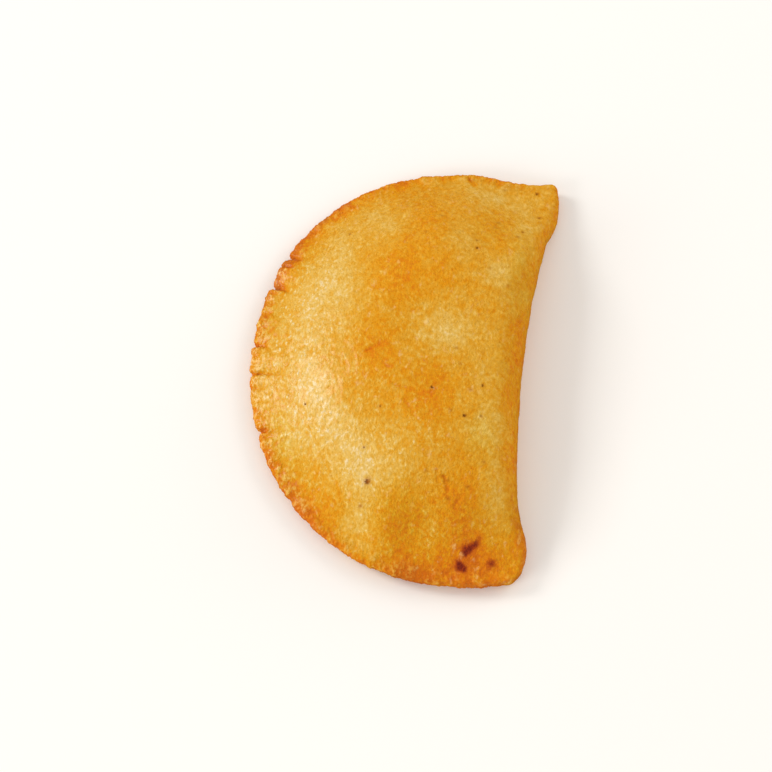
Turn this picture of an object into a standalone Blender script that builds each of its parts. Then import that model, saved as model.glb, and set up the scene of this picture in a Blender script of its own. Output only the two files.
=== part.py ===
"""A fried half-moon empanada of maize dough, one closed solid, in metres and +Z up.

A disc of dough is folded over its filling. The fold is the thick, rounded side at +Y, and the round
edge, pressed thin and sealed, is at -Y. X runs along the fold, from the pinched tip at -X to the
rounded corner at +X. The empanada lies on its flat belly, with the origin under its middle.

The solid is a row of closed sections. Each section starts at a point of the sealed rim, runs over the
filling to a point of the fold, and comes back underneath to the rim.
"""

import math
from itertools import accumulate

import bmesh
import bpy
from mathutils import Vector
from mathutils.geometry import interpolate_bezier
from mathutils.kdtree import KDTree

# ---- Outline, seen from above ----
HALF_LENGTH = 0.0816  # half of the length along the fold
WAIST_Y = 0.020  # where the empanada is longest: the round rim starts and ends here
RIM_DEPTH = 0.0747  # from the waist to the foremost point of the round rim
TIP_SIDE_POWER = 2.12  # superellipse power of the round rim on the side of the tip
CORNER_SIDE_POWER = 2.0  # and on the side of the corner
# Knots of the pinched end, from the tip to the waist. The tip ends in a small blunt knob.
TIP_END = (
    (-0.0798, 0.0521),
    (-0.0806, 0.0500),
    (-0.0794, 0.0460),
    (-0.0792, 0.0390),
    (-0.0796, 0.0325),
    (-0.0809, 0.0262),
    (-HALF_LENGTH, WAIST_Y),
)
# Knots of the round end, from the waist to the corner.
CORNER_END = (
    (HALF_LENGTH, WAIST_Y),
    (0.0814, 0.0295),
    (0.0804, 0.0385),
    (0.0787, 0.0443),
)
# Knots of the fold, from the tip to the corner. The pinched tip stands out as a lip that ends in a
# small step, the middle is drawn in, and the corner swells out again.
FOLD = (
    (-0.0783, 0.0538),
    (-0.0720, 0.0547),
    (-0.0645, 0.0545),
    (-0.0588, 0.0531),
    (-0.0548, 0.0509),
    (-0.0480, 0.0496),
    (-0.0300, 0.0467),
    (-0.0100, 0.0447),
    (0.0130, 0.0436),
    (0.0350, 0.0438),
    (0.0490, 0.0447),
    (0.0565, 0.0463),
    (0.0625, 0.0482),
    (0.0690, 0.0488),
    (0.0750, 0.0475),
)

# ---- Heights and thicknesses ----
PEAK_Z = 0.0270  # top of the dome over the filling
RIM_TOP_Z = 0.0064  # upper face of the sealed rim
RIM_UNDER_Z = 0.0024  # lower face of the sealed rim
RIM_WIDTH = 0.0035  # flat part of the rim
RIM_EDGE_RADIUS = 0.0022  # rounding of the rim's edge
RISE_REACH = 0.055  # the dome rises over this distance from the rim
RISE_FOOT = 1.12  # how softly the rise starts at the rim
RISE_SHOULDER = 2.4  # how quickly it levels off
# Where the fold has no filling left and the dough is pressed thin: place, reach, part of the rise lost.
PINCHES = (((-0.078, 0.053), 0.037, 0.74), ((0.077, 0.046), 0.033, 0.50))
FOLD_ROUND_TOP = 0.52  # how far in from the fold its rounding reaches above, as a part of the height there
FOLD_ROUND_UNDER = 0.42  # and underneath
FOLD_SLUMP = 0.0042  # the dough is this much lower above the fold than at the peak
SLUMP_REACH = 0.042
WIDEST_AT = 0.42  # height of the widest point of the edges, as a part of the thickness
UNDER_LIFT_REACH = 0.017  # the belly lifts off the table this far in from the rim
END_LIFT = 0.0020  # and it lifts a little more at the two ends
END_LIFT_REACH = 0.028
# On the short sections at the two ends, the rounded edges keep to these parts of the section.
MOST_RIM_ROUND = 0.3
MOST_FOLD_ROUND = 0.5

# ---- Sealed rim ----
WAVES = 29  # low, uneven waves along the sealed rim
WAVE_DEPTH = 0.0003
PLEAT_HEIGHT = 0.0004  # the same waves as low pleats on the rim's upper face
PLEAT_REACH = 0.012
SPLIT_HALF_WIDTH = 0.0012
SPLIT_REACH = 0.0065  # a split closes this far in from the rim
# Small splits where the pressed dough cracked: degrees round the rim from the tip's side, and depth.
SPLITS = ((0.5, 0.0010), (60.7, 0.0019), (70.4, 0.0023), (87.0, 0.0013), (94.5, 0.0009), (110.9, 0.0020))

# ---- Low bulges and hollows over the lumpy filling: x, y, radius, height ----
BULGES = (
    (-0.042, 0.006, 0.019, 0.0012),
    (-0.022, 0.026, 0.017, 0.0012),
    (0.004, -0.010, 0.020, 0.0010),
    (0.018, 0.026, 0.016, 0.0009),
    (0.042, 0.004, 0.016, 0.0012),
    (0.056, 0.028, 0.012, 0.0010),
    (-0.010, 0.006, 0.011, -0.0013),
    (0.028, -0.002, 0.011, -0.0008),
    (-0.056, 0.026, 0.012, -0.0008),
    (0.052, 0.010, 0.007, -0.0008),
)

# ---- Mesh ----
SECTIONS = 97  # evenly spaced ones, before a split turns one into three
RIM_STEPS = 3  # points round each half of the rim's edge
TOP_STEPS = 24  # points over the filling
FOLD_STEPS = 6  # points round the upper half of the fold
BELLY_STEPS = 6  # points across the flat belly
UNDER_FOLD_STEPS = 4  # points round the lower half of the fold
SPAN_POINTS = 24  # points on each span of the outline, before the sections are placed on it
QUARTER_POINTS = 120  # points on each quarter of the round rim

MASA_COLOUR = (0.72, 0.36, 0.065, 1.0)


def smooth_path(knots):
    """A smooth curve through the knots. Each span's handles follow the knots on either side of it."""
    points = [Vector(knot) for knot in knots]
    path = []
    for i in range(len(points) - 1):
        before, start = points[max(i - 1, 0)], points[i]
        end, after = points[i + 1], points[min(i + 2, len(points) - 1)]
        handles = start + (end - before) / 6, end - (after - start) / 6
        path += interpolate_bezier(start, handles[0], handles[1], end, SPAN_POINTS)[:-1]
    return path + points[-1:]


def round_rim_point(degrees):
    """A point of the round rim: 0 degrees at the tip's side, 90 at the front, 180 at the corner's side."""
    angle = math.radians(degrees)
    power = TIP_SIDE_POWER if degrees < 90 else CORNER_SIDE_POWER
    across = math.copysign(abs(math.cos(angle)) ** (2 / power), math.cos(angle))
    return Vector((-HALF_LENGTH * across, WAIST_Y - RIM_DEPTH * abs(math.sin(angle)) ** (2 / power)))


def rim_path():
    """The whole sealed rim: down the pinched end, round the front, and up the round end."""
    turns = [90 * i / QUARTER_POINTS for i in range(2 * QUARTER_POINTS + 1)]
    return smooth_path(TIP_END)[:-1] + [round_rim_point(t) for t in turns] + smooth_path(CORNER_END)[1:]


class Route:
    """A path that gives its point at any share of its length, and its distance from any place."""

    def __init__(self, path):
        self.path = path
        self.lengths = [0.0, *accumulate((end - start).length for start, end in zip(path, path[1:]))]
        self.length = self.lengths[-1]
        self.tree = KDTree(len(path))
        for i, point in enumerate(path):
            self.tree.insert(point.to_3d(), i)
        self.tree.balance()

    def point(self, share):
        """The point at a share of the length, from 0 to 1."""
        wanted = share * self.length
        k = max(i for i in range(len(self.path) - 1) if self.lengths[i] <= wanted)
        span = self.lengths[k + 1] - self.lengths[k]
        return self.path[k].lerp(self.path[k + 1], (wanted - self.lengths[k]) / span)

    def share_nearest(self, place):
        """The share of the length at which the path passes closest to a place."""
        return self.lengths[self.tree.find(place.to_3d())[1]] / self.length

    def distance(self, place):
        """The distance from a place to the path."""
        return self.tree.find(place.to_3d())[2]


def section_shares(rim):
    """Where the sections start on the rim, with how deep the rim is split at each of them."""
    cuts = {i / (SECTIONS - 1): 0.0 for i in range(SECTIONS)}
    side = SPLIT_HALF_WIDTH / rim.length
    for degrees, depth in SPLITS:
        share = rim.share_nearest(round_rim_point(degrees))
        nearest = min(cuts, key=lambda place: abs(place - share))
        del cuts[nearest]
        cuts.update({share - side: 0.0, share: depth, share + side: 0.0})
    return sorted(cuts.items())


def wave(share):
    """The rim's uneven waves, from -1 to 1, at a share of its length. They die out at its two ends."""
    turn = 2 * math.pi * WAVES * share
    uneven = 0.6 * math.sin(turn + 2.4 * math.sin(9.7 * share)) + 0.4 * math.sin(1.63 * turn + 1.1)
    return uneven * math.sin(math.pi * share) ** 0.5


def near(distance, reach):
    """From 1 at no distance, smoothly down to 0 at the reach."""
    share = min(1.0, distance / reach)
    return (1 - share) ** 2 * (1 + 2 * share)


def bulge(place):
    """Height that the lumpy filling adds to the top at a place."""
    return sum(
        height * math.exp(-((place.x - x) ** 2 + (place.y - y) ** 2) / radius**2)
        for x, y, radius, height in BULGES
    )


def top_height(place, rim, fold, pleat):
    """Upper face's height at a place, before the two edges are rounded."""
    from_rim, from_fold = rim.distance(place), fold.distance(place)
    share = min(1.0, max(0.0, from_rim - RIM_WIDTH) / RISE_REACH)
    risen = 1 - (1 - share**RISE_FOOT) ** RISE_SHOULDER
    full = (PEAK_Z - RIM_TOP_Z) - FOLD_SLUMP * near(from_fold, SLUMP_REACH) + bulge(place)
    for pinch, reach, loss in PINCHES:
        full *= 1 - loss * near((place - Vector(pinch)).length, reach)
    return RIM_TOP_Z + full * risen + pleat * near(from_rim, PLEAT_REACH)


def under_height(along, length):
    """Lower face's height at a distance from the rim, before the two edges are rounded."""
    near_rim = max(0.0, 1 - along / min(UNDER_LIFT_REACH, MOST_FOLD_ROUND * length))
    near_end = max(0.0, 1 - length / END_LIFT_REACH)
    return RIM_UNDER_Z * near_rim**2 + END_LIFT * near_end**2 * (1 - near_rim)


def rounding(distance, radius):
    """From 0 at an edge to 1 where its elliptical rounding ends."""
    outward = 1 - min(1.0, distance / radius)
    return math.sqrt(max(0.0, 1 - outward**2))


def half_section(length, across_steps, fold_steps, fold_reach):
    """Distances from the rim of one half of a section, from the rim's edge to the fold."""
    edge = min(RIM_EDGE_RADIUS, MOST_RIM_ROUND * length)
    fold = min(fold_reach, MOST_FOLD_ROUND * length)
    middle = length - edge - fold
    rim = [edge * (1 - math.cos(math.pi / 2 * i / RIM_STEPS)) for i in range(RIM_STEPS)]
    across = [edge + middle * i / across_steps for i in range(across_steps + 1)]
    turns = [math.pi / 2 * (1 - i / fold_steps) for i in range(1, fold_steps + 1)]
    around = [length - fold * (1 - math.cos(turn)) for turn in turns]
    return [(d, rounding(d, edge) * rounding(length - d, fold)) for d in rim + across + around]


def section_points(rim, fold, share, split):
    """The closed section between the rim and the fold, at a share of their lengths."""
    start, end = rim.point(share), fold.point(share)
    length = (end - start).length
    outward = (start - end) / length
    height = top_height(end, rim, fold, 0.0)
    upper = half_section(length, TOP_STEPS, FOLD_STEPS, FOLD_ROUND_TOP * height)
    lower = half_section(length, BELLY_STEPS, UNDER_FOLD_STEPS, FOLD_ROUND_UNDER * height)
    points = []
    for along, fullness, on_top in [(*p, True) for p in upper] + [(*p, False) for p in lower[-2:0:-1]]:
        place = start.lerp(end, along / length)
        top = top_height(place, rim, fold, PLEAT_HEIGHT * wave(share))
        under = under_height(along, length)
        widest = under + (top - under) * WIDEST_AT
        z = widest + ((top if on_top else under) - widest) * fullness
        moved = outward * (WAVE_DEPTH * wave(share) - split) * near(along, SPLIT_REACH)
        points.append((place + moved).to_3d() + Vector((0, 0, z)))
    return points


def stood_on_origin(sections):
    """The sections moved so that the box round them stands on the origin, on its middle."""
    corners = [p for points in sections for p in points]
    low = [min(p[axis] for p in corners) for axis in range(3)]
    high = [max(p[axis] for p in corners) for axis in range(3)]
    foot = Vector(((low[0] + high[0]) / 2, (low[1] + high[1]) / 2, low[2]))
    return [[p - foot for p in points] for points in sections]


def empanada_sections():
    """All the sections, from the pinched tip to the rounded corner."""
    rim, fold = Route(rim_path()), Route(smooth_path(FOLD))
    return stood_on_origin([section_points(rim, fold, *cut) for cut in section_shares(rim)])


def masa_material():
    """Maize dough fried golden."""
    material = bpy.data.materials.new("fried_masa")
    material.use_nodes = True
    shader = material.node_tree.nodes["Principled BSDF"]
    shader.inputs["Base Color"].default_value = MASA_COLOUR
    shader.inputs["Roughness"].default_value = 0.45
    shader.inputs["Metallic"].default_value = 0.0
    return material


def closed_loop(bm, points):
    """The edges of a closed loop through the points."""
    verts = [bm.verts.new(p) for p in points]
    return [bm.edges.new((a, b)) for a, b in zip(verts, verts[1:] + verts[:1])]


def build_empanada():
    """Bridges each section to the next, and closes the two ends."""
    bm = bmesh.new()
    loops = [closed_loop(bm, points) for points in empanada_sections()]
    for loop, following in zip(loops, loops[1:]):
        bmesh.ops.bridge_loops(bm, edges=loop + following)
    bmesh.ops.contextual_create(bm, geom=loops[0])
    bmesh.ops.contextual_create(bm, geom=loops[-1])
    bmesh.ops.recalc_face_normals(bm, faces=bm.faces)
    mesh = bpy.data.meshes.new("empanada")
    bm.to_mesh(mesh)
    bm.free()
    mesh.materials.append(masa_material())
    mesh.shade_smooth()
    empanada = bpy.data.objects.new("empanada", mesh)
    bpy.context.scene.collection.objects.link(empanada)


for old in list(bpy.data.objects):
    bpy.data.objects.remove(old)
build_empanada()
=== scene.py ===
# %% [markdown]
# # A fried empanada of maize dough
# The real thing is a disc of soft maize dough folded over its filling, pressed shut along the round
# side and fried until the skin sets. In the imported frame it is one plain closed solid. Here that
# solid is only the measure: a finer skin is laid over it, and gets its creases, lumps, blisters,
# crumbs and pinholes as real shape, and its browning, specks and scorched spots as colour. Some
# highlights, glints, a sheen and shade are painted into that colour as well. All places below are in
# millimetres, with X along the fold, the pinched tip at -X, the sealed rim at -Y, the fold at +Y, and
# Z up from the table.

# %% The frame
import math

import bmesh
import bpy
import numpy as np
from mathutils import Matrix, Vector
from mathutils.kdtree import KDTree


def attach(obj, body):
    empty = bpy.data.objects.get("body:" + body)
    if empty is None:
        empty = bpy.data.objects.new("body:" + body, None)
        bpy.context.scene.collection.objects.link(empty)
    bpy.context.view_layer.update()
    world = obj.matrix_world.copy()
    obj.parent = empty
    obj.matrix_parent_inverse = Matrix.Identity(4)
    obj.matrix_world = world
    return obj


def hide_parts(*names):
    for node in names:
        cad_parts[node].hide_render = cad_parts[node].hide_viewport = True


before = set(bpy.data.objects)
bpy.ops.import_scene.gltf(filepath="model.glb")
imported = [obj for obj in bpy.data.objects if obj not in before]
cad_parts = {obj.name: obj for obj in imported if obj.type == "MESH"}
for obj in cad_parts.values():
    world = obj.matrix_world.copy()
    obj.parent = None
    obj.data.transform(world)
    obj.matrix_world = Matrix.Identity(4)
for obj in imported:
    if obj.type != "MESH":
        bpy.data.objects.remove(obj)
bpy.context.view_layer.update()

MM = 0.001
scene = bpy.context.scene

# %% [markdown]
# ## The camera
# The empanada is looked at from the side of the round corner and from high above, so the fold runs
# up the view and the sealed rim bulges to the left. A long lens keeps it free of perspective.

# %% Camera
AIM = Vector((5.5, -5.0, 0.0)) * MM
CAMERA_TURN = math.radians(94.3)  # round the table, from -Y towards +X
CAMERA_RISE = math.radians(66.0)
CAMERA_AWAY = 729 * MM
CAMERA_LENS = 93.26  # on a sensor 36 mm wide


def direction(turn, rise):
    """The way from the object to something that stands at this turn and height round it."""
    return Vector((math.sin(turn) * math.cos(rise), -math.cos(turn) * math.cos(rise), math.sin(rise)))


bpy.ops.object.camera_add(
    location=AIM + direction(CAMERA_TURN, CAMERA_RISE) * CAMERA_AWAY,
    rotation=(math.pi / 2 - CAMERA_RISE, 0, CAMERA_TURN),
)
camera = bpy.context.object
camera.data.lens = CAMERA_LENS
camera.data.sensor_width = 36
camera.data.clip_start = 0.01
scene.camera = camera
print("camera at", [round(value / MM) for value in camera.location], "mm")

# %% [markdown]
# ## A fine, even skin over the plain solid
# The relief of fried masa is a millimetre or two across, far finer than the solid's faces. A copy of
# the solid is merged, smoothed by subdivision and then remeshed into even squares of half a
# millimetre, so that the relief comes out equally sharp everywhere. Sculptors start the same way.

# %% Working with one object
SKIN_GRID = 0.56 * MM


def only(piece):
    """Makes the piece the one selected and active object."""
    bpy.ops.object.select_all(action="DESELECT")
    piece.select_set(True)
    bpy.context.view_layer.objects.active = piece


def apply_modifier(piece, kind, **settings):
    """Adds a modifier with its settings and applies it at once."""
    only(piece)
    modifier = piece.modifiers.new(kind.title(), kind)
    for name, value in settings.items():
        setattr(modifier, name, value)
    bpy.ops.object.modifier_apply(modifier=modifier.name)


# %% The skin
crust = bpy.data.objects.new("empanada_crust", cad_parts["empanada"].data.copy())
scene.collection.objects.link(crust)
only(crust)
bpy.ops.object.mode_set(mode="EDIT")
bpy.ops.mesh.select_all(action="SELECT")
bpy.ops.mesh.remove_doubles(threshold=0.01 * MM)
bpy.ops.mesh.tris_convert_to_quads()
bpy.ops.object.mode_set(mode="OBJECT")
apply_modifier(crust, "SUBSURF", levels=2, render_levels=2)
apply_modifier(crust, "REMESH", mode="VOXEL", voxel_size=SKIN_GRID, use_smooth_shade=True)
apply_modifier(crust, "SMOOTH", factor=0.5, iterations=2)
print("skin:", len(crust.data.vertices), "points,", len(crust.data.polygons), "faces")

# %% [markdown]
# ## A flat map of the skin
# The skin is unwrapped while it is still smooth, so that the map falls into a few large pieces and
# not into hundreds of scraps between the blisters.

# %% Unwrap
STEEPEST_TURN = math.radians(66)
ISLAND_MARGIN = 0.004  # of the map's side

bpy.ops.object.mode_set(mode="EDIT")
bpy.ops.mesh.select_all(action="SELECT")
bpy.ops.uv.smart_project(angle_limit=STEEPEST_TURN, island_margin=ISLAND_MARGIN, scale_to_bounds=True)
bpy.ops.object.mode_set(mode="OBJECT")
crust.data.uv_layers.active.name = "OFBake"
print("unwrapped into the map", crust.data.uv_layers.active.name)

# %% [markdown]
# ## Where each point of the skin lies
# Most of the finish depends on how far a point is from the sealed rim, so that distance is measured
# once and kept on the mesh. The rim is found on the skin itself: it is the belt where the skin turns
# from the upper side to the lower one, all round except along the fold. How far round the rim a point
# lies is measured too, along a circle that roughly follows it.


# %% Measures on the skin
def read(piece, what):
    """The places or the normals of the piece's points, one row each."""
    values = np.empty(len(piece.data.vertices) * 3, np.float32)
    piece.data.vertices.foreach_get(what, values)
    return values.reshape(-1, 3).astype(float)


def write_places(piece, places):
    piece.data.vertices.foreach_set("co", places.astype(np.float32).ravel())
    piece.data.update()


def keep_on_mesh(piece, name, values):
    """Stores one number for each point, for the nodes to read."""
    layer = piece.data.attributes.new(name, "FLOAT", "POINT")
    layer.data.foreach_set("value", values.astype(np.float32))


def soft_step(low, high, values):
    """0 below low, 1 above high, and a soft rise between them."""
    share = np.clip((values - low) / (high - low), 0, 1)
    return share * share * (3 - 2 * share)


def near(distance, reach):
    """1 at no distance, and fading out over the reach."""
    return np.exp(-((distance / reach) ** 2))


BELT_STEEPNESS = 0.12  # how far the skin may still lean out of the upright
BELT_TOP = 14.0
BELT_END = 40.0  # the fold begins at this Y
RIM_CENTRE_Y = 12.0
RIM_RADIUS = 60.0

points = read(crust, "co") / MM
normals = read(crust, "normal")
x, y, z = points.T
belt = points[(np.abs(normals[:, 2]) < BELT_STEEPNESS) & (z < BELT_TOP) & (y < BELT_END)]
tree = KDTree(len(belt))
for i, place in enumerate(belt):
    tree.insert((place[0], place[1], 0), i)
tree.balance()
from_rim = np.array([tree.find((px, py, 0))[2] for px, py, _ in points])
round_rim = np.arctan2(y - RIM_CENTRE_Y, x) * RIM_RADIUS
print("rim belt:", len(belt), "points; farthest from it:", round(from_rim.max(), 1), "mm")

# %% [markdown]
# ## Creases and lumps of the pressed rim
# Where fingers pressed the dough shut, its edge cracked in a few places. From each crack a crease
# runs a few millimetres into the crust, and the dough between two creases stands up as a lump.
# They are pressed in as a sculptor's brush would do it: each stroke has a width and a depth and
# fades out along its way. A few shallow strokes in the middle wrinkle the crust where it sank.

# %% Strokes on the rim
# Each crease: its points from the deep end on, half width, depth.
CREASES = (
    (((-42.0, -47.0), (-40.6, -42.4), (-39.0, -39.2)), 0.65, 1.1),
    (((-37.6, -47.0), (-36.4, -43.2), (-35.0, -40.8)), 0.55, 0.7),
    (((-29.2, -51.5), (-26.8, -45.2), (-24.2, -41.2)), 0.65, 1.3),
    (((-5.2, -56.0), (-4.0, -51.6), (-2.6, -47.2)), 0.65, 1.0),
    (((6.6, -56.0), (7.2, -49.4), (8.6, -44.4), (8.0, -39.8)), 0.65, 1.0),
    (((29.3, -51.0), (28.8, -46.0), (29.6, -41.0)), 0.7, 1.2),
    (((-79.5, 20.0), (-74.5, 23.5)), 0.8, 0.4),
    # Short wrinkles where the dough sank.
    (((4.2, -11.8), (1.7, -8.3), (-0.5, -4.2)), 0.8, 0.45),
    (((10.4, -3.6), (8.5, -6.4), (7.8, -8.4)), 0.7, 0.3),
    (((16.4, -1.6), (17.6, 1.6), (18.2, 5.0)), 0.7, 0.3),
    (((22.0, 2.6), (25.4, 5.2), (30.0, 7.8)), 0.7, 0.3),
    (((48.0, 18.0), (51.8, 19.8), (56.6, 20.2)), 0.65, 0.4),
    (((46.4, 15.6), (50.4, 16.6), (52.6, 18.2)), 0.6, 0.3),
    (((58.0, 22.4), (55.4, 23.4), (52.6, 26.4)), 0.6, 0.3),
)
# Each lump: its middle, its reach along X and along Y, height. A height below zero is a dent.
LUMPS = (
    (-34.6, -43.0, 4.6, 4.0, 1.0),
    (-46.0, -39.4, 4.4, 3.4, 0.6),
    (-16.0, -48.5, 7.5, 3.4, 0.5),
    (1.4, -48.4, 4.2, 4.4, 1.2),
    (18.0, -47.0, 7.0, 3.2, 0.6),
    (36.5, -43.0, 5.5, 3.0, 0.6),
    (-79.5, 32.0, 5.0, 13.0, 0.8),
    (-62.0, 54.0, 7.0, 3.0, -0.9),
    (66.0, -3.0, 9.0, 7.0, 0.9),
    (66.0, 13.0, 9.0, 8.0, -0.45),
)


def patches(x, y, places):
    """The sum of soft round patches, each with its middle, its reach along X and Y and its strength."""
    total = np.zeros(len(x))
    for middle_x, middle_y, reach_x, reach_y, strength in places:
        total += strength * near(np.hypot((x - middle_x) / reach_x, (y - middle_y) / reach_y), 1)
    return total


def stroke_share(points, path, half_width):
    """How strongly a stroke along the path touches each point: 1 where it starts, 0 at its end."""
    lengths = [0.0]
    for start, end in zip(path, path[1:]):
        lengths.append(lengths[-1] + math.dist(start, end))
    share = np.zeros(len(points))
    for start, end, done in zip(path, path[1:], lengths):
        start, end = np.array(start), np.array(end)
        way = end - start
        along = np.clip((points[:, :2] - start) @ way / (way @ way), 0, 1)
        gap = np.hypot(*(points[:, :2] - start - along[:, None] * way).T)
        gone = (done + along * math.hypot(*way)) / lengths[-1]
        share = np.maximum(share, near(gap, half_width) * (1 - gone**2))
    return share


LIP_HEIGHT = 0.3
LIP_REACH = 3.0  # times the crease's own half width
# A crease's painted shade is laid on as browning, in full from this depth on.
CREASE_SHADE_DEPTH = 0.625  # a crease as deep as this browns fully

pressed = np.zeros(len(points))
crease_shade = np.zeros(len(points))
for path, half_width, depth in CREASES:
    share = stroke_share(points, path, half_width)
    lips = stroke_share(points, path, half_width * LIP_REACH)
    pressed += LIP_HEIGHT * lips - (LIP_HEIGHT + depth) * share
    crease_shade = np.maximum(crease_shade, share * min(1.0, depth / CREASE_SHADE_DEPTH))
pressed += patches(x, y, LUMPS)
pressed *= soft_step(-0.5, 0.35, normals[:, 2])  # the underside stays flat
points += normals * pressed[:, None]
write_places(crust, points * MM)
print("strokes from", round(pressed.min(), 2), "to", round(pressed.max(), 2), "mm")

# %% [markdown]
# ## Zones of the skin
# Frying isn't even. The side of the sealed rim blistered into a fine crackle, and the pinched tip
# stayed smooth. Some places are deep gold and some stayed pale. Other places get painted shade,
# darker and deeper in colour, and along the pressed edge a dull brown that is partly browning and
# partly painted shade. Each zone is a soft patch with a place, two radii and a strength, and the
# patches of a kind are summed up into one number per point. Painting them by hand on the mesh would
# do as well, but numbers can be read and changed.

# %% Crackled places
# Each patch, here and below: middle, reach along X and along Y, strength.
CRACKLED_PLACES = (
    (0, -52, 60, 26, 1.0),
    (50, -38, 30, 22, 0.3),
    (24, -8, 34, 20, 0.25),
    (76, 8, 16, 26, 0.4),
    (-10, 6, 14, 12, 0.15),
    (30, 8, 16, 12, 0.3),
    (-60, 30, 30, 24, -0.4),
)
print(len(CRACKLED_PLACES), "crackled places")

# %% Pale and toasted places
TOASTED_PLACES = (
    # Pale along the slope behind the sealed rim: partly paler crust, partly a painted sheen of the
    # light from that side.
    (-79, 12, 5, 12, -0.12),
    (-58, -15, 7, 6, -0.10),
    (-56, -28, 7, 7, -0.10),
    (-50, -9, 8, 6, -0.12),
    (-38, -25, 14, 7, -0.18),
    (-33, -36, 6, 5, -0.08),
    (-24, -44, 9, 5, -0.16),
    (-24, -37, 6, 4, -0.10),
    (-23, -18, 5, 4, -0.08),
    (-22, -29, 12, 8, -0.20),
    (-18, -21, 6, 4, -0.12),
    (-10, -44, 6, 4, -0.08),
    (-10, -34, 9, 7, -0.06),
    (-6, -35, 12, 7, -0.12),
    (-6, -22, 8, 9, -0.08),
    (8, -34, 9, 8, -0.16),
    (12, -49, 14, 6, -0.18),
    (18, -28, 9, 9, -0.26),
    (27, -43, 8, 5, -0.08),
    (30, -24, 9, 9, -0.24),
    (34, -37, 10, 6, -0.17),
    (40, -15, 9, 9, -0.22),
    (42, 0, 9, 9, -0.14),
    (46, -38, 8, 5, -0.04),
    (47, -30, 5, 4, -0.10),
    (50, -9, 10, 7, -0.22),
    (62, -11, 8, 6, -0.20),
    (75, -6, 5, 8, -0.10),
    # Pale, on the hump in the middle and along the fold.
    (-74, 28, 8, 12, -0.16),
    (-69, 30, 5, 5, -0.10),
    (-58, 42, 16, 5, -0.14),
    (-48, -4, 14, 5, -0.04),
    (-42, 18, 9, 5, -0.12),
    (-37, 42, 6, 4, -0.08),
    (-32, 33, 8, 6, -0.18),
    (-7, 16, 9, 9, -0.26),
    (6, 30, 14, 6, -0.06),
    (28, 32, 9, 6, -0.14),
    (40, 36, 8, 6, -0.06),
    (53, 37, 7, 5, -0.18),
    # Golden, over the filling.
    (-54, 30, 7, 5, 0.08),
    (-52, 6, 12, 8, 0.10),
    (-43, 34, 6, 4, 0.08),
    (-30, 14, 9, 7, 0.10),
    (-28, -2, 14, 8, 0.16),
    (-12, 17, 5, 4, 0.08),
    (-1, -10, 10, 6, 0.10),
    (8, -6, 9, 7, 0.10),
    (17, -21, 6, 5, 0.09),
    (18, 6, 5, 4, 0.08),
    (18, 13, 12, 7, 0.20),
    (28, -28, 5, 5, 0.08),
    (42, -6, 6, 4, 0.08),
    (60, -6, 6, 4, 0.08),
    # Deep orange, towards the two ends and out at the rim.
    (-72, 4, 7, 10, 0.05),
    (-66, -28, 6, 4, 0.25),
    (-62, -28, 6, 5, 0.14),
    (-56, -36, 7, 4, 0.20),
    (-50, -42, 9, 3, 0.22),
    (-38, -46, 14, 7, 0.10),
    (-34, -49, 9, 3, 0.20),
    (38, -44, 8, 4, 0.10),
    (55, -34, 14, 8, 0.15),
    (55, 25, 10, 9, 0.20),
    (57, -14, 5, 6, 0.10),
    (63, -24, 4, 4, 0.10),
    (64, 4, 8, 8, 0.20),
    (66, 47, 9, 4, 0.26),
    (72, 29, 8, 9, 0.30),
    (72, 30, 4, 4, 0.16),
    (75, 19, 4, 5, 0.12),
    (75, 42, 4, 5, 0.12),
    (76, 6, 6, 4, 0.14),
    (79, 9, 5, 7, 0.30),
)
print(len(TOASTED_PLACES), "pale or toasted places")

# %% Painted shade on the edge and elsewhere
# Painted shade, laid on as a dull brown on the pressed edge and on the fold's end at the round
# corner; at the rim it is partly real browning too.
SHADED_EDGE_PLACES = (
    (-26, -49, 6, 6, 0.6),
    (-35, -46, 5, 6, 0.5),
    (-59, -31, 6, 5, 0.6),
    (58, 50, 14, 8, 0.45),
)
# Painted shade: these places are made darker and deeper in colour.
SHADED_PLACES = (
    (62, 5, 9, 8, 1.0),
    (79, 6, 6, 11, 0.9),
    (66, -22, 10, 6, 0.3),
    (50, -36, 12, 6, 0.6),
    (33, -42, 10, 5, 0.5),
    (-14, -50, 8, 5, 0.6),
    (-44, -41, 9, 6, 0.4),
    (-52, 30, 8, 7, 0.35),
    (-30, 42, 20, 6, 0.55),
    (5, 40, 16, 6, 0.35),
    (20, 44, 12, 3, 0.5),
    (34, 30, 10, 6, 0.4),
    (54, 46, 14, 4, 0.9),
    (66, 28, 10, 8, 0.3),
)
print(len(SHADED_EDGE_PLACES), "browned and", len(SHADED_PLACES), "soaked places")

# %% Putting the zones on the mesh
PLAIN_CRACKLE = 0.25
LEAST_CRACKLE = 0.12
MOST_CRACKLE = 1.15
PLAIN_TOAST = 0.53
RIM_TOAST = 0.16
RIM_TOAST_REACH = 6.0
EDGE_TOAST = 0.12  # on top of that, right at the edge
EDGE_REACH = 2.0
FOLD_TOAST = 0.12
CREASE_SHADE_TOAST = 0.3
SHADED_EDGE_REACH = 2.2  # from the rim

fold_face = soft_step(0.35, 0.8, normals[:, 1])
underside = soft_step(0.1, 0.7, -normals[:, 2])
crackle = PLAIN_CRACKLE + patches(x, y, CRACKLED_PLACES)
toast = PLAIN_TOAST + patches(x, y, TOASTED_PLACES)
toast += RIM_TOAST * near(from_rim, RIM_TOAST_REACH) + EDGE_TOAST * near(from_rim, EDGE_REACH)
# Painted shade: the creases are browned in step with their depth.
toast += FOLD_TOAST * fold_face + CREASE_SHADE_TOAST * crease_shade
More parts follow.
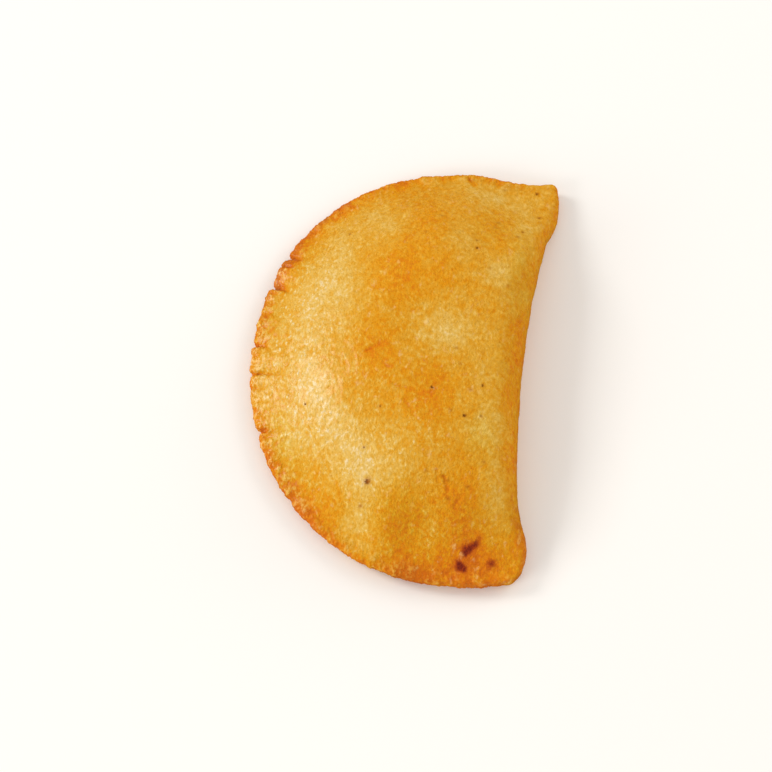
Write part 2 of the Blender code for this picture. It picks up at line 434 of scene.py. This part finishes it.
# Painted shade, at the rim partly real browning: a dull brown on the pressed edge and the fold.
on_edge = np.maximum(near(from_rim, SHADED_EDGE_REACH), fold_face)
edge_shade = patches(x, y, SHADED_EDGE_PLACES) * on_edge
keep_on_mesh(crust, "crackle", np.clip(crackle, LEAST_CRACKLE, MOST_CRACKLE))
keep_on_mesh(crust, "toast", toast)
keep_on_mesh(crust, "edge_shade", np.minimum(edge_shade, 1.0))
keep_on_mesh(crust, "painted_shade", np.minimum(patches(x, y, SHADED_PLACES), 1.0))
keep_on_mesh(crust, "rim_mm", from_rim)
keep_on_mesh(crust, "round_mm", round_rim)
keep_on_mesh(crust, "blotched", np.maximum(fold_face, underside))
print("toast from", round(toast.min(), 2), "to", round(toast.max(), 2))

# %% [markdown]
# ## The fried relief
# Hot oil drives steam through the dough, and leaves broad puckers, small domed blisters, fine wrinkles
# between them and the grain of the maize meal. Each of these is a pattern of its own size. They could
# be sculpted one by one, but thousands of them are a job for a node tree: it adds the patterns up,
# moves the skin along its normals and keeps the height on the mesh for the material, which paints the
# raised grains paler than the hollows between them as a painted highlight.


# %% One helper for every node
def add_node(tree, kind, inputs=None, out=0, **settings):
    """Adds a node with its settings, links or sets its inputs, and returns one of its outputs."""
    node = tree.nodes.new(kind)
    for name, value in settings.items():
        setattr(node, name, value)
    for key, value in (inputs or {}).items():
        if isinstance(value, bpy.types.NodeSocket):
            tree.links.new(value, node.inputs[key])
        else:
            node.inputs[key].default_value = value
    return node.outputs[out] if node.outputs else node


# %% Places that the patterns are drawn on
STIR_REACH = 2.2
ROLLED = (0.8, 1, 1)  # the dough was rolled along the fold, so grains are drawn out that way


def stirred_place(tree, place_mm):
    """Places pulled about by a soft noise, so that the patterns on them don't look stamped."""
    stir = add_node(tree, "ShaderNodeTexNoise", {"Vector": place_mm, "Scale": 0.22, "Detail": 2.0}, out=1)
    stir = add_node(tree, "ShaderNodeVectorMath", {0: stir, 1: (0.5, 0.5, 0.5)}, operation="SUBTRACT")
    stir = add_node(tree, "ShaderNodeVectorMath", {0: stir, "Scale": STIR_REACH}, operation="SCALE")
    return add_node(tree, "ShaderNodeVectorMath", {0: place_mm, 1: stir}, operation="ADD")


relief = bpy.data.node_groups.new("fried relief", "GeometryNodeTree")
relief.interface.new_socket("Skin", in_out="INPUT", socket_type="NodeSocketGeometry")
relief.interface.new_socket("Skin", in_out="OUTPUT", socket_type="NodeSocketGeometry")
skin = add_node(relief, "NodeGroupInput")
place = add_node(relief, "GeometryNodeInputPosition")
place_mm = add_node(relief, "ShaderNodeVectorMath", {0: place, "Scale": 1 / MM}, operation="SCALE")
stirred = stirred_place(relief, place_mm)
rolled = add_node(relief, "ShaderNodeVectorMath", {0: stirred, 1: ROLLED}, operation="MULTIPLY")
crackled, rim_mm, round_mm = (
    add_node(relief, "GeometryNodeInputNamedAttribute", {"Name": name}, data_type="FLOAT")
    for name in ("crackle", "rim_mm", "round_mm")
)
print("relief, the places:", len(relief.nodes), "nodes")

# %% The patterns, from coarse to fine
CRIMP_NARROWNESS = 0.25  # a crimp is four times as long as it is wide

# Broad puckers, about 11 mm from one to the next.
puckers = add_node(relief, "ShaderNodeTexNoise", {"Vector": place_mm, "Scale": 0.09, "Detail": 1.5})
# Blisters: domes 1.5 mm wide and a quarter longer, each at its own point.
cells = add_node(
    relief,
    "ShaderNodeTexVoronoi",
    {"Vector": rolled, "Scale": 0.66, "Smoothness": 0.35},
    feature="SMOOTH_F1",
)
domes = add_node(
    relief,
    "ShaderNodeMapRange",
    {"Value": cells, "From Min": 0.62, "From Max": 0.12, "To Min": 0.0, "To Max": 1.0},
    interpolation_type="SMOOTHSTEP",
)
# Wrinkles: short rounded ridges 2 to 3 mm apart.
wrinkles = add_node(
    relief, "ShaderNodeTexNoise", {"Vector": stirred, "Scale": 0.38, "Detail": 2.0, "Roughness": 0.55}
)
# Grain of the meal, about 1.4 mm.
grain = add_node(
    relief, "ShaderNodeTexNoise", {"Vector": rolled, "Scale": 0.7, "Detail": 3.0, "Roughness": 0.65}
)
# The pressed edge broke up into crumbs of 1 mm, and small crimps run inwards from it.
crumbs = add_node(
    relief, "ShaderNodeTexNoise", {"Vector": place_mm, "Scale": 1.05, "Detail": 2.0, "Roughness": 0.6}
)
inwards = add_node(relief, "ShaderNodeMath", {0: rim_mm, 1: CRIMP_NARROWNESS}, operation="MULTIPLY")
along_rim = add_node(relief, "ShaderNodeCombineXYZ", {0: round_mm, 1: inwards})
crimps = add_node(relief, "ShaderNodeTexNoise", {"Vector": along_rim, "Scale": 0.36, "Detail": 1.5})
# Blistering comes and goes over patches of 14 mm.
patchy = add_node(relief, "ShaderNodeTexNoise", {"Vector": place_mm, "Scale": 0.07, "Detail": 2.0})
patchy = add_node(
    relief, "ShaderNodeMapRange", {"Value": patchy, "From Min": 0.35, "From Max": 0.65, "To Min": 0.35}
)
blistered = add_node(relief, "ShaderNodeMath", {0: crackled, 1: patchy}, operation="MULTIPLY")
print("relief, with its patterns:", len(relief.nodes), "nodes")

# %% Adding the patterns up
# Each height is in millimetres.
PUCKER_HEIGHT = 0.9
DOME_HEIGHT = 0.22
WRINKLE_HEIGHT = 0.45
GRAIN_HEIGHT = 0.62
CRUMB_HEIGHT = 1.2
CRUMB_REACH = 7.0  # from the rim
CRIMP_HEIGHT = 1.4
CRIMP_REACH = 9.0


def added(tree, total, pattern, strength):
    """The total plus a pattern times its strength, the pattern made to swing about zero first."""
    swing = add_node(tree, "ShaderNodeMath", {0: pattern, 1: 0.5}, operation="SUBTRACT")
    return add_node(tree, "ShaderNodeMath", {0: swing, 1: strength, 2: total}, operation="MULTIPLY_ADD")


crumb_height = add_node(
    relief,
    "ShaderNodeMapRange",
    {"Value": rim_mm, "From Min": CRUMB_REACH, "From Max": 0.5, "To Min": 0.0, "To Max": CRUMB_HEIGHT},
    interpolation_type="SMOOTHSTEP",
)
crimp_height = add_node(
    relief,
    "ShaderNodeMapRange",
    {"Value": rim_mm, "From Min": CRIMP_REACH, "From Max": 1.5, "To Min": 0.0, "To Max": CRIMP_HEIGHT},
    interpolation_type="SMOOTHSTEP",
)
fine = add_node(relief, "ShaderNodeMath", {0: domes, 1: DOME_HEIGHT}, operation="MULTIPLY")
fine = added(relief, fine, wrinkles, WRINKLE_HEIGHT)
fine = add_node(relief, "ShaderNodeMath", {0: fine, 1: blistered}, operation="MULTIPLY")
for pattern, strength in ((grain, GRAIN_HEIGHT), (crumbs, crumb_height), (crimps, crimp_height)):
    fine = added(relief, fine, pattern, strength)
height = added(relief, fine, puckers, PUCKER_HEIGHT)
print("relief, added up:", len(relief.nodes), "nodes")

# %% Moving the skin
push = add_node(relief, "ShaderNodeMath", {0: height, 1: MM}, operation="MULTIPLY")
normal = add_node(relief, "GeometryNodeInputNormal")
push = add_node(relief, "ShaderNodeVectorMath", {0: normal, "Scale": push}, operation="SCALE")
raised = add_node(relief, "GeometryNodeSetPosition", {"Geometry": skin, "Offset": push})
raised = add_node(
    relief,
    "GeometryNodeStoreNamedAttribute",
    {"Geometry": raised, "Name": "relief", "Value": fine},
    data_type="FLOAT",
    domain="POINT",
)
# The empanada's own weight flattens what would go through the table. The -1 leaves X and Y free.
moved = add_node(relief, "GeometryNodeInputPosition")
on_table = add_node(relief, "ShaderNodeVectorMath", {0: moved, 1: (-1, -1, 0)}, operation="MAXIMUM")
rested = add_node(relief, "GeometryNodeSetPosition", {"Geometry": raised, "Position": on_table})
add_node(relief, "NodeGroupOutput", {0: rested})
apply_modifier(crust, "NODES", node_group=relief)
heights = np.empty(len(crust.data.vertices), np.float32)
crust.data.attributes["relief"].data.foreach_get("value", heights)
print("fine relief from", round(float(heights.min()), 2), "to", round(float(heights.max()), 2), "mm")

# %% [markdown]
# ## Fewer faces on the side that lies down
# The underside is pressed flat by its own weight and needs no squares of half a millimetre. Its points
# are put in a vertex group, and the Decimate modifier takes faces away there and nowhere else, the
# flattest places first. It may leave a point a hair below the table, so the points are lifted back.

# %% A coarser underside
TRIANGLES_KEPT = 196000
TABLE_SIDE_INSET = 1.5  # from the rim


def count_triangles(piece):
    return sum(len(face.vertices) - 2 for face in piece.data.polygons)


table_side = crust.vertex_groups.new(name="table side")
lying = np.flatnonzero((underside > 0.99) & (from_rim > TABLE_SIDE_INSET))
table_side.add(lying.tolist(), 1.0, "REPLACE")
share_kept = TRIANGLES_KEPT / count_triangles(crust)
apply_modifier(crust, "DECIMATE", ratio=share_kept, vertex_group="table side")
crust.vertex_groups.clear()
places = read(crust, "co")
places[:, 2] = np.maximum(places[:, 2], 0.0)
write_places(crust, places)
print(len(lying), "points lay on the table side;", count_triangles(crust), "triangles are left")

# %% [markdown]
# ## Pinholes
# Steam leaves the crust through pinholes, most of them no wider than a millimetre. On the mesh each one
# is the few faces nearest to its place, inset and pushed in. Cutting round holes would be neater, but
# at this size nobody could tell.

# %% Pinholes
# Each hole: its place and its radius.
PINHOLES = (
    (-74.9, 46.0, 0.50),
    (-52.7, 41.1, 0.45),
    (-41.0, 24.7, 0.45),
    (-44.8, 24.4, 0.30),
    (-48.4, -22.4, 0.30),
    (13.8, 29.6, 0.45),
    (16.6, 11.9, 0.45),
    (26.0, 24.0, 0.60),
    (25.4, 29.7, 0.30),
    (24.6, -5.7, 0.30),
    (21.8, -32.5, 0.30),
    (39.0, -10.2, 0.30),
    (50.3, -8.1, 0.95),
)
PINHOLE_LIP = 0.06 * MM
PINHOLE_DEPTH = 0.5 * MM
LEAST_UPWARD = 0.2  # a face that looks up less than this is left whole

only(crust)
bpy.ops.object.mode_set(mode="EDIT")
bpy.ops.mesh.select_all(action="DESELECT")
bpy.ops.mesh.select_mode(type="FACE")
skin_mesh = bmesh.from_edit_mesh(crust.data)
skin_mesh.faces.ensure_lookup_table()
centres = np.array([face.calc_center_median() for face in skin_mesh.faces]) / MM
facing_down = np.array([face.normal.z for face in skin_mesh.faces]) < LEAST_UPWARD
for hole_x, hole_y, radius in PINHOLES:
    gaps = np.hypot(centres[:, 0] - hole_x, centres[:, 1] - hole_y)
    gaps[facing_down] = np.inf
    # The nearest face always counts, however small the hole.
    for i in np.flatnonzero(gaps < max(radius, gaps.min() + 0.01)):
        skin_mesh.faces[i].select_set(True)
bmesh.update_edit_mesh(crust.data)
bpy.ops.mesh.inset(thickness=PINHOLE_LIP)
bpy.ops.mesh.extrude_region_shrink_fatten(TRANSFORM_OT_shrink_fatten={"value": -PINHOLE_DEPTH})
bpy.ops.object.mode_set(mode="OBJECT")
print(len(PINHOLES), "pinholes;", count_triangles(crust), "triangles in all")

# %% [markdown]
# ## Where the crust scorched, and brown specks
# Near the round corner the crust touched the pan and scorched in three small reddish brown spots. Each
# is put together from one or more soft ellipses, so that none is round. Pinholes have brown walls, and
# where one closed again only a brown speck is left.

# %% Spots and specks
# Each spot: middle, length, width, turn from X in degrees, strength.
SCORCHED_SPOTS = (
    (70.0, 27.6, 2.2, 1.7, 90, 1.0),
    (68.4, 30.2, 2.4, 1.7, 115, 0.85),
    (66.0, 31.8, 2.4, 1.4, 155, 0.45),
    (71.7, 27.7, 1.3, 1.0, 0, 0.6),
    (74.6, 25.5, 2.0, 1.6, 60, 1.0),
    (76.1, 27.4, 1.6, 1.5, 30, 0.9),
    (76.6, 25.0, 1.6, 1.4, 0, 0.4),
    (73.4, 36.8, 2.6, 1.8, 130, 0.95),
)
# Each speck: its place and its strength.
SPECKS = (
    (-62.4, 47.1, 0.84),
    (-49.5, 39.3, 0.56),
    (-75.4, 33.9, 0.42),
    (-55.4, 10.9, 0.56),
    (-46.5, 5.8, 0.42),
    (-55.9, 32.0, 0.63),
    (-52.8, 30.8, 0.49),
    (-32.6, 29.8, 0.42),
    (-26.5, 36.5, 0.56),
    (0.4, 19.7, 0.56),
    (6.4, 21.4, 0.56),
    (15.9, 25.5, 0.70),
    (24.6, 19.1, 0.49),
    (41.7, 31.7, 0.60),
    (46.8, 12.0, 0.40),
    (49.3, 19.7, 0.60),
    (50.9, 26.5, 0.70),
    (55.1, 20.3, 0.75),
    (57.9, -10.0, 0.77),
)
SPECK_RADIUS = 0.65
PINHOLE_HALO = 0.2  # how far the brown reaches past a pinhole
PINHOLE_BROWN = 0.6
PINHOLE_BROWNER = 0.4  # for each millimetre of its radius
MOST_DOWNWARD = -0.2  # skin that looks down more than this gets none of them
print(len(SCORCHED_SPOTS), "ellipses make up the scorched spots;", len(SPECKS), "specks")

# %% Putting them on the mesh
normals = read(crust, "normal")
x, y, z = read(crust, "co").T / MM
scorch = np.zeros(len(x))
for spot_x, spot_y, length, width, turn, strength in SCORCHED_SPOTS:
    turn = math.radians(turn)
    along = (x - spot_x) * math.cos(turn) + (y - spot_y) * math.sin(turn)
    across = (y - spot_y) * math.cos(turn) - (x - spot_x) * math.sin(turn)
    scorch += strength * near(np.hypot(along / length, across / width), 1)
speck = np.zeros(len(x))
for hole_x, hole_y, radius in PINHOLES:
    halo = near(np.hypot(x - hole_x, y - hole_y), radius + PINHOLE_HALO)
    speck = np.maximum(speck, (PINHOLE_BROWN + PINHOLE_BROWNER * radius) * halo)
for speck_x, speck_y, strength in SPECKS:
    spot = near(np.hypot(x - speck_x, y - speck_y), SPECK_RADIUS)
    speck = np.maximum(speck, strength * spot)
upper_side = normals[:, 2] > MOST_DOWNWARD
keep_on_mesh(crust, "scorch", np.minimum(scorch, 1.0) * upper_side)
keep_on_mesh(crust, "speck", speck * upper_side)
print(int((scorch > 0.5).sum()), "points are well scorched;", int((speck > 0.5).sum()), "are brown")

# %% [markdown]
# ## The material: fried maize dough
# Fried masa is pale yellow where it stayed soft, golden where it browned, and orange at thin edges.
# Painting all that into an image would fix its sharpness, so the material works it out from the
# numbers on the mesh and a few patterns. Most of the colour runs along one ramp from pale to deep
# orange, and most patterns only move a point along that ramp. Painted highlights on the crumbs,
# painted glints, specks and scorched spots get colours of their own on top, and painted shade
# darkens some places.


# %% Colours
def colour(hex_code):
    """An sRGB hex colour as the linear numbers that shaders take."""
    parts = [int(hex_code[i : i + 2], 16) / 255 for i in (1, 3, 5)]
    return [part / 12.92 if part <= 0.04045 else ((part + 0.055) / 1.055) ** 2.4 for part in parts] + [1.0]


TOAST_COLOURS = (
    (0.00, "#ebd09c"),
    (0.25, "#e5b95a"),
    (0.45, "#e1a42e"),
    (0.62, "#e19406"),
    (0.80, "#e08000"),
    (1.00, "#d66c06"),
)
print("golden crust in linear numbers:", [round(part, 3) for part in colour(TOAST_COLOURS[2][1])])

# %% What the material reads
masa = bpy.data.materials.new("fried_masa")
masa.use_nodes = True
finish = masa.node_tree
finish.nodes.clear()
place = add_node(finish, "ShaderNodeTexCoord", out=3)
place_mm = add_node(finish, "ShaderNodeVectorMath", {0: place, "Scale": 1 / MM}, operation="SCALE")
stirred = stirred_place(finish, place_mm)
rolled = add_node(finish, "ShaderNodeVectorMath", {0: stirred, 1: ROLLED}, operation="MULTIPLY")
READ_FROM_MESH = ("toast", "relief", "scorch", "speck", "crackle", "rim_mm", "blotched", "edge_shade", "painted_shade")
toast, fried_height, scorched, speck, crackled, rim_mm, blotched, edge_shade, painted_shade = (
    add_node(finish, "ShaderNodeAttribute", attribute_name=name, out=2) for name in READ_FROM_MESH
)
# Mottling of 3 mm, and single grains of meal a little over 1 mm across.
mottling = add_node(finish, "ShaderNodeTexNoise", {"Vector": place_mm, "Scale": 0.35, "Detail": 3.0})
meal = add_node(
    finish, "ShaderNodeTexNoise", {"Vector": rolled, "Scale": 0.85, "Detail": 4.0, "Roughness": 0.52}
)
print("the material reads", len(READ_FROM_MESH), "numbers from the mesh")

# %% [markdown]
# ### How brown each point is
# The zones give the toasting of each place. Clouds of 12 mm, the mottling and the meal swing it up and
# down: the clouds most on the fold's face and the underside, so that these don't repeat the zones of
# the upper side, the mottling most at the rim, and the meal most where the crust blistered. Raised
# grains get a painted highlight: they are made paler.

# %% Browning
RELIEF_HIGHLIGHT = -0.35  # per millimetre of fine relief

clouds = add_node(finish, "ShaderNodeTexNoise", {"Vector": place_mm, "Scale": 0.085, "Detail": 3.0})
cloudy = add_node(finish, "ShaderNodeMapRange", {"Value": blotched, "To Min": 0.12, "To Max": 0.5})
mottled = add_node(
    finish,
    "ShaderNodeMapRange",
    {"Value": rim_mm, "From Min": 8.0, "From Max": 2.0, "To Min": 0.45, "To Max": 0.7},
    interpolation_type="SMOOTHSTEP",
)
speckled = add_node(
    finish, "ShaderNodeMapRange", {"Value": crackled, "To Min": 0.38, "To Max": 0.66}, clamp=False
)
level = toast
for pattern, strength in ((clouds, cloudy), (mottling, mottled), (meal, speckled)):
    level = added(finish, level, pattern, strength)
# Painted highlight: the higher the fine relief, the paler the colour.
level = add_node(
    finish, "ShaderNodeMath", {0: fried_height, 1: RELIEF_HIGHLIGHT, 2: level}, operation="MULTIPLY_ADD"
)
print("masa, with its browning:", len(finish.nodes), "nodes")

# %% Pale flecks and the ramp
SCORCH_TOAST = 0.2

# Pale flecks, partly pale grains of maize and partly painted glints of the oil film, in drifts of
# 6 mm and hardly at all elsewhere.
drifts = add_node(finish, "ShaderNodeTexNoise", {"Vector": place_mm, "Scale": 0.16, "Detail": 2.0})
drifts = add_node(
    finish,
    "ShaderNodeMapRange",
    {"Value": drifts, "From Min": 0.40, "From Max": 0.60, "To Min": 0.04, "To Max": 0.28},
)
off_rim = add_node(
    finish,
    "ShaderNodeMapRange",
    {"Value": rim_mm, "From Min": 2.0, "From Max": 10.0, "To Min": 0.3},
    interpolation_type="SMOOTHSTEP",
)
grain_and_glint_flecks = add_node(
    finish,
    "ShaderNodeMapRange",
    {"Value": meal, "From Min": 0.48, "From Max": 0.30},
    interpolation_type="SMOOTHSTEP",
)
for share in (drifts, crackled, off_rim):
    grain_and_glint_flecks = add_node(finish, "ShaderNodeMath", {0: grain_and_glint_flecks, 1: share}, operation="MULTIPLY")
level = add_node(finish, "ShaderNodeMath", {0: level, 1: grain_and_glint_flecks}, operation="SUBTRACT")
level = add_node(finish, "ShaderNodeMath", {0: scorched, 1: SCORCH_TOAST, 2: level}, operation="MULTIPLY_ADD")
crust_colour = add_node(finish, "ShaderNodeValToRGB", {"Fac": level})
ramp = crust_colour.node.color_ramp
for i, (position, hex_code) in enumerate(TOAST_COLOURS):
    stop = ramp.elements[i] if i < 2 else ramp.elements.new(position)
    stop.position = position
    stop.color = colour(hex_code)
print("the ramp has", len(ramp.elements), "colours")

# %% [markdown]
# ### The pressed edge
# The edge is thin, so it fried hardest. In a few places it gets a dull brown, which is partly browning
# and partly painted shade, and the tops of its crumbs get a painted peach highlight. Both are mixed
# over the crust's colour, each with a share that says where.

# %% Edge and crumbs
EDGE_SHADE_COLOUR = "#b87226"
CRUMB_HIGHLIGHT_COLOUR = "#facb80"


def mixed(tree, share, under, over, **settings):
    """One colour laid over another, as far as the share says."""
    inputs = {0: share, 6: under, 7: over}
    return add_node(tree, "ShaderNodeMix", inputs, out=2, data_type="RGBA", **settings)


# Painted shade, partly real browning: the dull brown is mixed in where the edge's share says.
edge_shade_share = add_node(
    finish, "ShaderNodeMapRange", {"Value": mottling, "From Min": 0.38, "From Max": 0.58}
)
edge_shade_share = add_node(finish, "ShaderNodeMath", {0: edge_shade_share, 1: edge_shade}, operation="MULTIPLY")
crust_colour = mixed(finish, edge_shade_share, crust_colour, colour(EDGE_SHADE_COLOUR))

near_rim = add_node(
    finish,
    "ShaderNodeMapRange",
    {"Value": rim_mm, "From Min": 8.0, "From Max": 3.0},
    interpolation_type="SMOOTHSTEP",
)
broken_up = add_node(finish, "ShaderNodeMapRange", {"Value": meal, "From Min": 0.56, "From Max": 0.44})
crumbly = add_node(
    finish, "ShaderNodeMapRange", {"Value": crackled, "From Min": 0.5, "From Max": 1.0, "To Min": 0.2}
)
# Painted highlight: the tops of the crumbs near the rim are made peach.
crumb_highlights = add_node(
    finish,
    "ShaderNodeMapRange",
    {"Value": fried_height, "From Min": -0.05, "From Max": 0.3, "To Max": 0.75},
    interpolation_type="SMOOTHSTEP",
)
for share in (near_rim, broken_up, crumbly):
    crumb_highlights = add_node(finish, "ShaderNodeMath", {0: crumb_highlights, 1: share}, operation="MULTIPLY")
crust_colour = mixed(finish, crumb_highlights, crust_colour, colour(CRUMB_HIGHLIGHT_COLOUR))
print("masa, with its edge:", len(finish.nodes), "nodes")

# %% [markdown]
# ### Painted glints and shade
# Here and there small pale spots are painted glints of the oil film. Painted shade makes some
# places a little darker and less blue, so there the colour is multiplied and not covered.

# %% Painted glints and painted shade
GLINT_COLOUR = "#f8d190"
SHADE_COLOUR = "#f1f495"
DRAWN_OUT = (0.6, 1, 1)

# Painted glints: sparse pale spots, drawn out along the fold, most where the crust blistered.
drawn = add_node(finish, "ShaderNodeVectorMath", {0: stirred, 1: DRAWN_OUT}, operation="MULTIPLY")
painted_glints = add_node(
    finish, "ShaderNodeTexNoise", {"Vector": drawn, "Scale": 0.45, "Detail": 2.0, "Roughness": 0.6}
)
painted_glints = add_node(
    finish,
    "ShaderNodeMapRange",
    {"Value": painted_glints, "From Min": 0.58, "From Max": 0.82},
    interpolation_type="SMOOTHSTEP",
)
glint_share = add_node(
    finish, "ShaderNodeMapRange", {"Value": crackled, "From Min": 0.1, "To Min": 0.3, "To Max": 0.7}
)
painted_glints = add_node(finish, "ShaderNodeMath", {0: painted_glints, 1: glint_share}, operation="MULTIPLY")
crust_colour = mixed(finish, painted_glints, crust_colour, colour(GLINT_COLOUR))
# Painted shade: the colour is multiplied darker and less blue on the shaded places.
crust_colour = mixed(finish, painted_shade, crust_colour, colour(SHADE_COLOUR), blend_type="MULTIPLY")
print("masa, with grains and oil:", len(finish.nodes), "nodes")

# %% [markdown]
# ### Specks and scorched spots
# A scorched spot has no clean outline: it eats into the crust grain by grain, and only its middle is
# charred. So a rough noise is added to its strength before that is cut into a share.

# %% Specks and scorching
SPECK_COLOUR = "#a85a06"
SCORCH_COLOUR = "#a83c08"
CHAR_COLOUR = "#7a2412"
RAGGEDNESS = 1.9

crust_colour = mixed(finish, speck, crust_colour, colour(SPECK_COLOUR))
ragged = add_node(
    finish, "ShaderNodeTexNoise", {"Vector": place_mm, "Scale": 0.8, "Detail": 4.0, "Roughness": 0.7}
)
ragged = added(finish, scorched, ragged, RAGGEDNESS)
burnt = add_node(
    finish,
    "ShaderNodeMapRange",
    {"Value": ragged, "From Min": 0.25, "From Max": 0.75},
    interpolation_type="SMOOTHSTEP",
)
burnt = add_node(finish, "ShaderNodeMath", {0: burnt, 1: scorched}, operation="MULTIPLY")
charred = add_node(
    finish,
    "ShaderNodeMapRange",
    {"Value": ragged, "From Min": 0.65, "From Max": 1.15},
    interpolation_type="SMOOTHSTEP",
)
scorch_colour = mixed(finish, charred, colour(SCORCH_COLOUR), colour(CHAR_COLOUR))
crust_colour = mixed(finish, burnt, crust_colour, scorch_colour)
print("masa, with its spots:", len(finish.nodes), "nodes")

# %% [markdown]
# ### Grit and the film of oil
# The crust itself is a dull starch skin. What shines is a thin film of frying oil, so the gloss is a
# coat with the IOR of oil, thin and a little rough. The colour gets a painted shade along the pattern
# of the meal, darker where the grains' hollows would be. The finest grit, about half a millimetre
# across, is only a bump, and it is drawn a little coarser so that it shows.

# %% Fried masa
OIL_IOR = 1.47
GRIT_HEIGHT = 0.6 * MM

# Painted shade: the colour is darkened along the meal pattern, most where the crust is smooth.
painted_grain_shade = add_node(
    finish,
    "ShaderNodeMapRange",
    {"Value": crackled, "From Min": 0.1, "From Max": 0.9, "To Min": -0.45, "To Max": -0.1},
)
painted_grain_shade = added(finish, 1.0, meal, painted_grain_shade)
crust_colour = add_node(finish, "ShaderNodeVectorMath", {0: crust_colour, "Scale": painted_grain_shade}, operation="SCALE")
grit = add_node(finish, "ShaderNodeTexNoise", {"Vector": place_mm, "Scale": 1.5, "Detail": 2.0})
grit_bump = add_node(finish, "ShaderNodeBump", {"Height": grit, "Strength": 1.0, "Distance": GRIT_HEIGHT})
dull = add_node(finish, "ShaderNodeMapRange", {"Value": mottling, "To Min": 0.42, "To Max": 0.58})
shader = add_node(
    finish,
    "ShaderNodeBsdfPrincipled",
    {
        "Base Color": crust_colour,
        "Roughness": dull,
        "IOR": OIL_IOR,
        "Specular IOR Level": 0.08,
        "Coat Weight": 0.34,
        "Coat Roughness": 0.24,
        "Coat IOR": OIL_IOR,
        "Normal": grit_bump,
    },
)
add_node(finish, "ShaderNodeOutputMaterial", {"Surface": shader})
crust.data.materials.clear()
crust.data.materials.append(masa)
print("masa, finished:", len(finish.nodes), "nodes")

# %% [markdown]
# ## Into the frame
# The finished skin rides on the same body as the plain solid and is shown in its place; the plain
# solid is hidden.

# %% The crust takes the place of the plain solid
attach(crust, "root")
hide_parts("empanada")
print(crust.name, "stands in for the plain solid")

# %% [markdown]
# ## Floor and light
# The floor is warm white and plain, and lies a hair below the crust, so that the two don't fight for
# the same place. The light of a food picture is mostly soft and even: a bright room, and soft boxes on
# three sides. Only one of them, low behind the sealed rim, is mirrored by the oil and lays a sheen
# along the slope of the crust. The other two, the room and the floor only light it, because their
# mirror images would veil the colour of the crust.

# %% Floor
FLOOR_COLOUR = "#faf5ee"
FLOOR_SIDE = 6.0  # metres
FLOOR_GAP = 0.05 * MM

bpy.ops.mesh.primitive_plane_add(size=FLOOR_SIDE, location=(0, 0, -FLOOR_GAP))
floor = bpy.context.object
floor.name = "floor"
paper = bpy.data.materials.new("matt_paper")
paper.use_nodes = True
sheet = paper.node_tree.nodes["Principled BSDF"]
sheet.inputs["Base Color"].default_value = colour(FLOOR_COLOUR)
sheet.inputs["Roughness"].default_value = 0.9
sheet.inputs["Specular IOR Level"].default_value = 0.1
floor.data.materials.append(paper)
floor.visible_glossy = False
print("floor of", FLOOR_SIDE, "m")

# %% Lights
BOX_AWAY = 3.0  # metres
ROOM_BRIGHTNESS = 0.67


def soft_box(name, towards, size, power, mirrored):
    """A square sheet of light that faces the empanada; mirrored says whether the oil shows it."""
    towards = Vector(towards).normalized()
    bpy.ops.object.light_add(type="AREA", location=towards * BOX_AWAY)
    box = bpy.context.object
    box.name = name
    box.rotation_euler = towards.to_track_quat("Z", "Y").to_euler()
    box.data.size = size
    box.data.energy = power
    box.visible_glossy = mirrored
    print(name, "of", size, "m and", power, "W")


soft_box("sheen_box", (-0.22, -0.80, 0.53), 0.9, 30.0, True)
soft_box("fill_box", (-0.5, 0.75, 0.43), 2.3, 33.0, False)
soft_box("rim_box", (0.55, -0.75, 0.40), 1.2, 29.0, False)
world = bpy.data.worlds.new("soft_room")
scene.world = world
world.use_nodes = True
room = world.node_tree.nodes["Background"]
room.inputs["Color"].default_value = (1, 1, 1, 1)
room.inputs["Strength"].default_value = ROOM_BRIGHTNESS
world.cycles_visibility.glossy = False
scene.view_settings.view_transform = "Standard"
